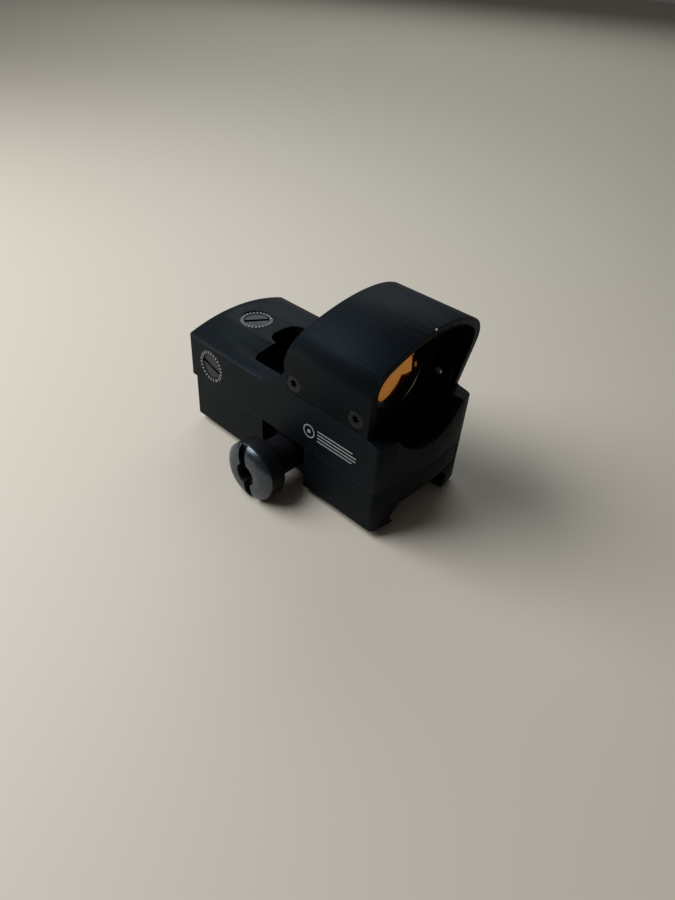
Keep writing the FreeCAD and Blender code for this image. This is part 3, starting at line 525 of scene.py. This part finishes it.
FINISHES = {
    "anodised_body": anodised("anodised_body", SATIN_BLACK, EDGE_WEAR_AND_HIGHLIGHT, painted=bore_painted_shade),
    "anodised_hood": anodised(
        "anodised_hood", HOOD_BLACK, EDGE_WEAR_AND_HIGHLIGHT, specular=0.07, glint=EDGE_GLINT, painted=inward_painted_shade),
    "anodised_base": anodised("anodised_base", BASE_BLACK, EDGE_WEAR_AND_HIGHLIGHT),
    "frame_black": anodised("frame_black", (0.0032, 0.0032, 0.0034, 1), (0.03, 0.03, 0.03, 1), 0.62),
    "block_black": anodised("block_black", (0.006, 0.006, 0.0065, 1), (0.05, 0.05, 0.05, 1), 0.55),
    "ring_marked": anodised("ring_marked", (0.010, 0.011, 0.012, 1), (0.12, 0.12, 0.125, 1), 0.38),
    "knob_gunmetal": knob_metal(),
    "black_screw": ground("black_screw", (0.020, 0.021, 0.024, 1), 0.38, 0.9),
    "screw_steel": ground("screw_steel", (0.10, 0.10, 0.11, 1), 0.3),
    "plain_steel": ground("plain_steel", (0.48, 0.48, 0.5, 1), 0.3),
    "battery_steel": turned("battery_steel", (0.62, 0.62, 0.63, 1), middle("battery"), "Z", 0.22),
    "gold_contact": ground("gold_contact", (0.82, 0.6, 0.24, 1), 0.25, grain=(0.1, 1, 1)),
    "nut_brass": ground("nut_brass", (0.68, 0.5, 0.2, 1), 0.3),
    "board_green": circuit_laminate(),
    "chip_black": moulded("chip_black", (0.014, 0.014, 0.015, 1), 0.5, 0.07 * MM, 0.006 * MM),
    "seal_rubber": moulded("seal_rubber", (0.010, 0.010, 0.010, 1), 0.7),
    "led_clear": led_epoxy(),
    "lens_glass": coated_glass(),
}

OWN_FINISH = {
    "elevation_dial": turned(
        "dial_black_top", (0.011, 0.012, 0.013, 1), middle("elevation_dial"), "Z", 0.36, 0.5),
    "windage_dial": turned(
        "dial_black_side", (0.022, 0.023, 0.025, 1), middle("windage_dial"), "X", 0.36, 0.5),
    "button_brighter": key_rubber("button_rubber_plus", "button_brighter", True),
    "button_dimmer": key_rubber("button_rubber_minus", "button_dimmer", False),
}
MARKS = mark_paint()


# ------------------------------------------------------------------ CAD pieces

def soften(node, width):
    """Round a CAD node's sharp edges by a little, with modifiers only."""
    node.modifiers.new("weld", "WELD").merge_threshold = SAME_POINT
    flat = node.modifiers.new("flat", "DECIMATE")
    flat.decimate_type = "DISSOLVE"
    flat.angle_limit = DISSOLVE_ANGLE
    bevel = node.modifiers.new("bevel", "BEVEL")
    bevel.width = width
    bevel.segments = 2
    bevel.limit_method = "ANGLE"
    bevel.angle_limit = SMOOTH_ANGLE
    bevel.harden_normals = True
    bevel.use_clamp_overlap = True


def dress_nodes():
    """Give every CAD node its material and, but for the lens, its rounded edges."""
    slots = {piece["node"]: piece["material_slot"] for piece in frame["record"]["subparts"]}
    for name, node in frame["nodes"].items():
        node.data.materials.clear()
        node.data.materials.append(OWN_FINISH.get(name) or FINISHES[slots[name]])
        low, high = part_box(name)
        if name != "lens":
            soften(node, BEVEL if (high - low).length > LARGE_PART else SMALL_BEVEL)


dress_nodes()


# ------------------------------------------------------------------ printed marks

def new_piece(name, points, faces, material):
    """A mesh object in the scene, with one material."""
    mesh = bpy.data.meshes.new(name)
    mesh.from_pydata(points, [], faces)
    mesh.materials.append(material)
    piece = bpy.data.objects.new(name, mesh)
    bpy.context.scene.collection.objects.link(piece)
    return piece


def face_frame(axis, origin):
    """Matrix from a face's own plane to the part: u and v lie in the face, w stands off it."""
    columns = {
        "Z": ((1, 0, 0), (0, 1, 0), (0, 0, 1)),
        "X": ((0, 1, 0), (0, 0, 1), (1, 0, 0)),
    }[axis]
    return Matrix.Translation(origin) @ Matrix(columns).transposed().to_4x4()


def printed(name, outlines, frame_of_face, body):
    """Thin plates of paint on a face, one for each outline in the face's plane."""
    points, faces = [], []
    for outline in outlines:
        first, count = len(points), len(outline)
        for height in (0.0, PAINT):
            points += [frame_of_face @ Vector((u, v, height)) for u, v in outline]
        faces.append([first + count + k for k in range(count)])
        faces.append([first + k for k in reversed(range(count))])
        for k in range(count):
            after = (k + 1) % count
            faces.append([first + k, first + after, first + count + after, first + count + k])
    mark = new_piece(name, points, faces, MARKS)
    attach(mark, body)


def polar(radius, angle):
    """Both coordinates of a point on a circle."""
    return radius * math.cos(angle), radius * math.sin(angle)


def tick(inner, outer, angle, half):
    """Outline of a short stroke that points at the middle."""
    across = Vector(polar(1, angle + math.pi / 2)) * half
    near, far = Vector(polar(inner, angle)), Vector(polar(outer, angle))
    return [tuple(near - across), tuple(far - across), tuple(far + across), tuple(near + across)]


def index_marks(name, ring, dial, axis, arrow_angle):
    """Ticks around a dial, with an arrow for the direction of the adjustment."""
    low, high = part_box(ring)
    dial_low, dial_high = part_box(dial)
    origin = (low + high) / 2
    setattr(origin, axis.lower(), getattr(high, axis.lower()))
    outer = (high.y - low.y) / 2
    inner = (dial_high.y - dial_low.y) / 2 + TICK_GAP
    near = inner + INNER_MARGIN * (outer - inner)
    far = outer - OUTER_MARGIN * (outer - inner)
    step = math.tau / TICKS
    outlines = []
    for k in range(TICKS - ARROW_TICKS):
        angle = arrow_angle + (k + (ARROW_TICKS + 1) / 2) * step
        outlines.append(tick(near, far, angle, TICK_HALF_WIDTH))
    half = ARROW_TICKS * step / 3
    middle_radius = (near + far) / 2
    outlines.append([
        polar(middle_radius, arrow_angle + half),
        polar(near, arrow_angle - half / 2),
        polar(far, arrow_angle - half / 2),
    ])
    printed(name, outlines, face_frame(axis, origin), "body")


index_marks("elevation_ticks", "elevation_index_ring", "elevation_dial", "Z", math.radians(150))
index_marks("windage_ticks", "windage_index_ring", "windage_dial", "X", math.radians(-60))


def ring_outline(centre, radius, width, count=40):
    """Ring as one outline: round the outside, then back round the inside."""
    angles = [math.tau * k / count for k in range(count + 1)]
    outline = [polar(radius, angle) for angle in angles]
    outline += [polar(radius - width, angle) for angle in reversed(angles)]
    return [(centre[0] + u, centre[1] + v) for u, v in outline]


def disc_outline(centre, radius, count=16):
    """Filled circle as a polygon."""
    outline = [polar(radius, math.tau * k / count) for k in range(count)]
    return [(centre[0] + u, centre[1] + v) for u, v in outline]


def side_emblem():
    """Plain picture of a dot in a ring between lines, on the housing's side."""
    outlines = [
        ring_outline(EMBLEM_CENTRE, EMBLEM_RADIUS, EMBLEM_STROKE),
        disc_outline(EMBLEM_CENTRE, EMBLEM_DOT),
    ]
    start = EMBLEM_CENTRE[0] + EMBLEM_RADIUS + EMBLEM_GAP
    for k, height in enumerate(LINE_HEIGHTS):
        from_middle = abs(k - (len(LINE_HEIGHTS) - 1) / 2)
        length = (LINE_LENGTH - LINE_SHORTENING * from_middle) * MM
        low = EMBLEM_CENTRE[1] + height * MM - EMBLEM_STROKE / 2
        outlines.append([
            (start, low),
            (start + length, low),
            (start + length + EMBLEM_STROKE, low + EMBLEM_STROKE),
            (start, low + EMBLEM_STROKE),
        ])
    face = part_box("housing")[1].x
    printed("side_emblem", outlines, face_frame("X", Vector((face, 0, 0))), "body")


side_emblem()


# ------------------------------------------------------------------ turned pieces

def turned_piece(name, rings, finish, body):
    """Closed body from rings of points, one after another along +X."""
    points = [point for ring in rings for point in ring]
    sides = len(rings[0])
    last = len(points) - sides
    faces = [list(reversed(range(sides)))]
    for first in range(0, last, sides):
        for j in range(sides):
            after = (j + 1) % sides
            faces.append([first + j, first + after, first + sides + after, first + sides + j])
    faces.append([last + j for j in range(sides)])
    piece = new_piece(name, points, faces, FINISHES[finish])
    piece.data.shade_smooth()
    piece.data.set_sharp_from_angle(angle=SHARP_ANGLE)
    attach(piece, body)
    return piece


def round_ring(x, y, z, radii):
    """Ring of points round the line through y and z, with a radius for each point."""
    ring = []
    for j, radius in enumerate(radii):
        u, v = polar(radius, math.tau * j / len(radii))
        ring.append((x, y + u, z + v))
    return ring


def screw_tip(name, side, y, z):
    """Bright chamfered end of a hood screw, a little proud of the bore's wall."""
    stations = [
        (TIP_FACE, TIP_RADIUS - TIP_CHAMFER),
        (TIP_FACE + TIP_CHAMFER, TIP_RADIUS),
        (TIP_ROOT, TIP_RADIUS),
    ]
    rings = [round_ring(side * x, y, z, [radius] * TIP_SIDES) for x, radius in stations]
    turned_piece(name, rings[::side], "plain_steel", "body")


def screw_tips():
    """Ends for the four hood screws, in line with their heads."""
    low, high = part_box("hood_screws")
    rear, front = low.y + SCREW_HEAD_RADIUS, high.y - SCREW_HEAD_RADIUS
    low_z, high_z = low.z + SCREW_HEAD_RADIUS, high.z - SCREW_HEAD_RADIUS
    for side, way in ((1, "near"), (-1, "far")):
        screw_tip("screw_tip_rear_" + way, side, rear, low_z)
        screw_tip("screw_tip_front_" + way, side, front, high_z)


screw_tips()


def thread_stations(start, end, radius):
    """Places along the bolt: x, radius at the thread's root, and height of the thread there."""
    root = radius - THREAD_DEPTH
    count = int(THREAD_LENGTH / THREAD_PITCH * RINGS_PER_TURN)
    stations = [(start, root, 0.0)]
    for k in range(count + 1):
        grown = min(1.0, k / RINGS_PER_TURN, (count - k) / RINGS_PER_TURN)
        sunk = 1 if k < RINGS_PER_TURN else grown
        x = start + THREAD_LENGTH * k / count
        stations.append((x, radius - THREAD_DEPTH * sunk, grown * THREAD_DEPTH))
    stations.append((start + THREAD_LENGTH + THREAD_DEPTH, radius, 0.0))
    stations.append((end, radius, 0.0))
    return stations


def threaded_bolt():
    """The clamp bolt with a real screw thread at its far end, in place of the plain cylinder."""
    low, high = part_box("clamp_bolt")
    centre = (low + high) / 2
    radius = (high.z - low.z) / 2
    rings = []
    for x, root, height in thread_stations(low.x, high.x, radius):
        radii = []
        for j in range(BOLT_SIDES):
            phase = ((x - low.x) / THREAD_PITCH - j / BOLT_SIDES) % 1.0
            radii.append(min(radius, root + height * (1 - abs(2 * phase - 1))))
        rings.append(round_ring(x, centre.y, centre.z, radii))
    bolt = turned_piece("clamp_bolt_threaded", rings, "screw_steel", "clamp_screw")
    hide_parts("clamp_bolt")


threaded_bolt()


# ------------------------------------------------------------------ stage

def make_floor():
    """Matt pale table top under the lowest point."""
    low = cad_box[0].z
    bpy.ops.mesh.primitive_plane_add(size=FLOOR_SIZE, location=(0, 0, low))
    floor = bpy.context.object
    floor.name = "floor"
    n = Nodes("floor_paint")
    floor.data.materials.append(n.finish(Base_Color=FLOOR_TONE, Roughness=0.6))


def aim(target, azimuth, elevation, distance):
    """Where to stand, and which way back from the target."""
    a, e = math.radians(azimuth), math.radians(elevation)
    back = Vector((math.sin(a) * math.cos(e), math.cos(a) * math.cos(e), math.sin(e)))
    return target + back * distance, back


def make_light(name, azimuth, elevation, distance, size, power, colour):
    """Rectangular light that faces the object."""
    data = bpy.data.lights.new(name, "AREA")
    data.shape = "RECTANGLE"
    data.size, data.size_y = size
    data.energy = power
    data.color = colour
    light = bpy.data.objects.new(name, data)
    bpy.context.scene.collection.objects.link(light)
    light.location, back = aim(LIGHTS_AIM, azimuth, elevation, distance)
    light.rotation_mode = "QUATERNION"
    light.rotation_quaternion = back.to_track_quat("Z", "Y")


def make_world():
    """Dim even light from all round."""
    world = bpy.data.worlds.new("studio")
    world.use_nodes = True
    background = world.node_tree.nodes["Background"]
    background.inputs["Color"].default_value = WORLD_TONE
    background.inputs["Strength"].default_value = WORLD_STRENGTH
    bpy.context.scene.world = world


def make_camera():
    """Camera at the photograph's viewpoint."""
    data = bpy.data.cameras.new("camera")
    data.lens = CAMERA_LENS
    data.sensor_width = CAMERA_SENSOR
    data.clip_start = CAMERA_NEAREST
    camera = bpy.data.objects.new("camera", data)
    bpy.context.scene.collection.objects.link(camera)
    camera.location, back = aim(CAMERA_AIM, CAMERA_AZIMUTH, CAMERA_ELEVATION, CAMERA_DISTANCE)
    level = back.to_track_quat("Z", "Y").to_matrix()
    roll = Matrix.Rotation(math.radians(CAMERA_ROLL), 3, back)
    camera.rotation_mode = "QUATERNION"
    camera.rotation_quaternion = (roll @ level).to_quaternion()
    bpy.context.scene.camera = camera


make_floor()
make_world()
make_light(
    "window", azimuth=140, elevation=46, distance=0.42,
    size=(0.34, 0.30), power=2.2, colour=(0.86, 0.93, 1.0))
make_light(
    "sky", azimuth=234, elevation=34, distance=1.0,
    size=(0.8, 0.45), power=2.5, colour=(0.86, 0.95, 1.0))
make_camera()
bpy.context.scene.view_settings.view_transform = "Standard"
